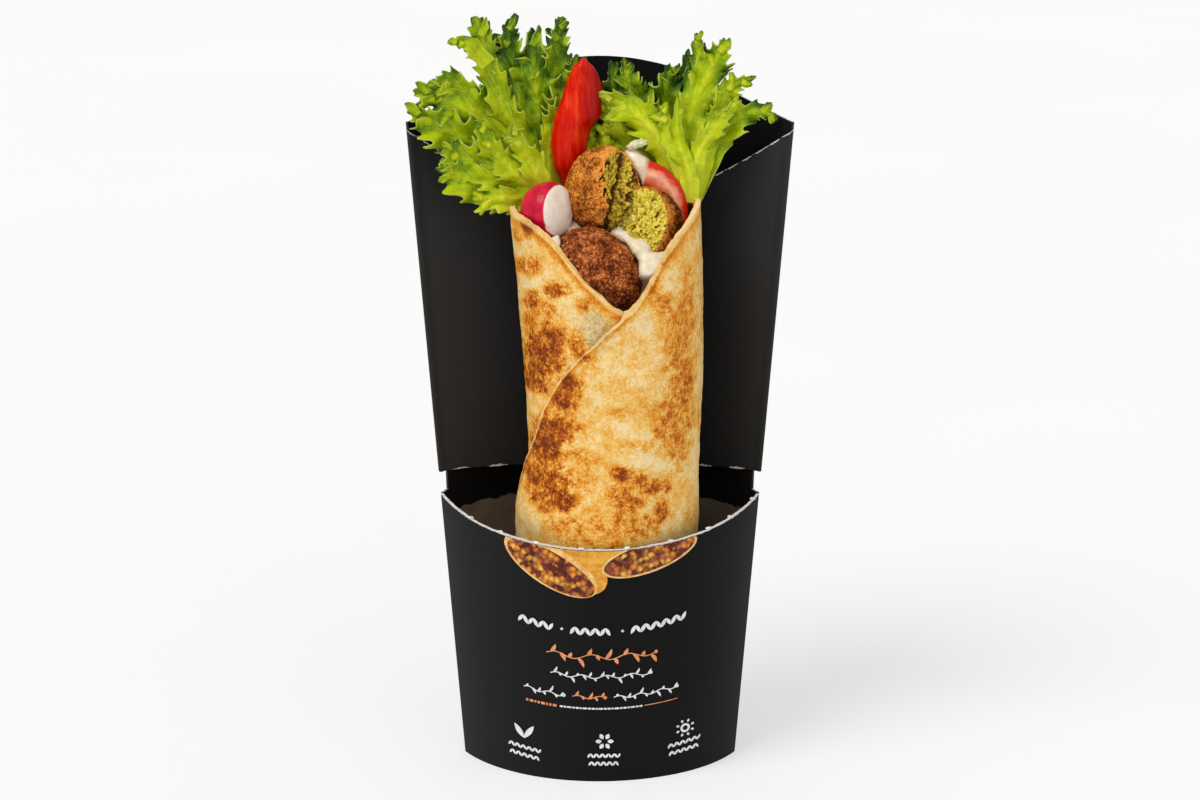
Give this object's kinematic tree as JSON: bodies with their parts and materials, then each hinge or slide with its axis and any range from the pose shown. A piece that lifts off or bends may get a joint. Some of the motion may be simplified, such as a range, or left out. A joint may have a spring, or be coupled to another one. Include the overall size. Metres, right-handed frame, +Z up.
{
  "type": "half falafel wrap in a take-away sleeve",
  "caption": "Falafel wrap with lettuce, tomato, radish and sauce in its open mouth, standing in a tall black board sleeve torn open at the front.",
  "frame": {"origin": "centre of the sleeve's underside", "axes": "+Z up along the wrap, -Y towards the front, +X to the viewer's right"},
  "size_m": [0.1336, 0.0815, 0.264],
  "materials": {
    "board": "matt black printed board",
    "tortilla": "toasted flour tortilla",
    "sauce": "moist white sauce",
    "falafel_crust": "fried crumb crust",
    "falafel_crumb": "crumbly green inside",
    "radish": "smooth skin",
    "tomato": "glossy wet skin",
    "onion": "moist",
    "lettuce": "fresh leaf"
  },
  "bodies": {
    "root": {"sleeve": "board", "tortilla": "tortilla", "sauce": "sauce", "falafel_whole": "falafel_crust", "falafel_broken": "falafel_crust", "falafel_half": "falafel_crumb", "radish": "radish", "tomato_wedge": "tomato", "tomato_slice": "tomato", "onion_bit": "onion", "lettuce_left_back": "lettuce", "lettuce_left_front": "lettuce", "lettuce_right_back": "lettuce", "lettuce_right_front": "lettuce", "lettuce_bit": "lettuce"}
  },
  "joints": []
}
